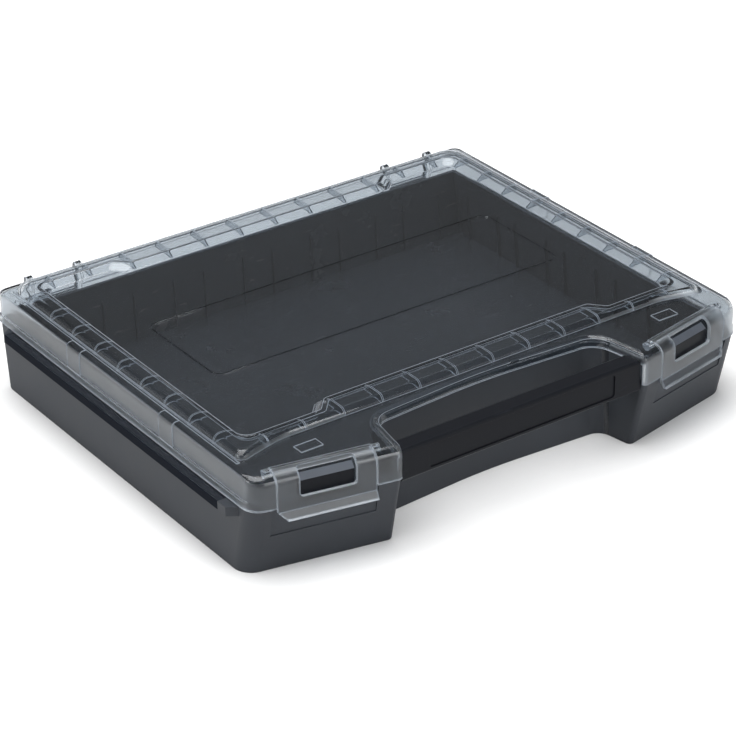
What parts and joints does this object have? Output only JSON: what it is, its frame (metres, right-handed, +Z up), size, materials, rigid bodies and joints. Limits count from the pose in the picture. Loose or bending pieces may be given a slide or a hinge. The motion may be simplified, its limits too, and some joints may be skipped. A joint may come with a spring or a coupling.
{
  "type": "saw blade storage case",
  "caption": "Flat carrying case for saw blades: dark tray, clear hinged lid with a ribbed raised band, pivoting clear latches and a handle bar across the front recess.",
  "frame": {"origin": "middle of the case's footprint, on the surface it lies on", "axes": "+X along the front to the right, +Y from the handle to the hinges, +Z up"},
  "size_m": [0.378, 0.3159, 0.072],
  "materials": {
    "tray": "fine moulded texture, dark grey",
    "handle": "smooth near-black",
    "runner": "glossy blue-black",
    "clear": "clear, slightly smoky, polished",
    "pin": "drawn wire"
  },
  "bodies": {
    "case": {"tray": "tray", "handle_bar": "handle", "left_runner": "runner", "right_runner": "runner", "left_catch": "handle", "right_catch": "handle", "left_hinge_pin": "pin", "right_hinge_pin": "pin"},
    "lid": {"lid": "clear"},
    "left_latch": {"left_latch": "clear"},
    "right_latch": {"right_latch": "clear"}
  },
  "joints": [
    {"name": "lid_hinge", "type": "hinge", "parent": "case", "child": "lid", "pos_m": [0, 0.155, 0.0466], "axis": [-1, 0, 0], "range_deg": [0, 105]},
    {"name": "left_latch_pivot", "type": "hinge", "parent": "lid", "child": "left_latch", "pos_m": [-0.13513, -0.13917, 0.0656], "axis": [-0.9797, 0.2004, 0], "range_deg": [0, 90]},
    {"name": "right_latch_pivot", "type": "hinge", "parent": "lid", "child": "right_latch", "pos_m": [0.13513, -0.13917, 0.0656], "axis": [-0.9797, -0.2004, 0], "range_deg": [0, 90]}
  ]
}
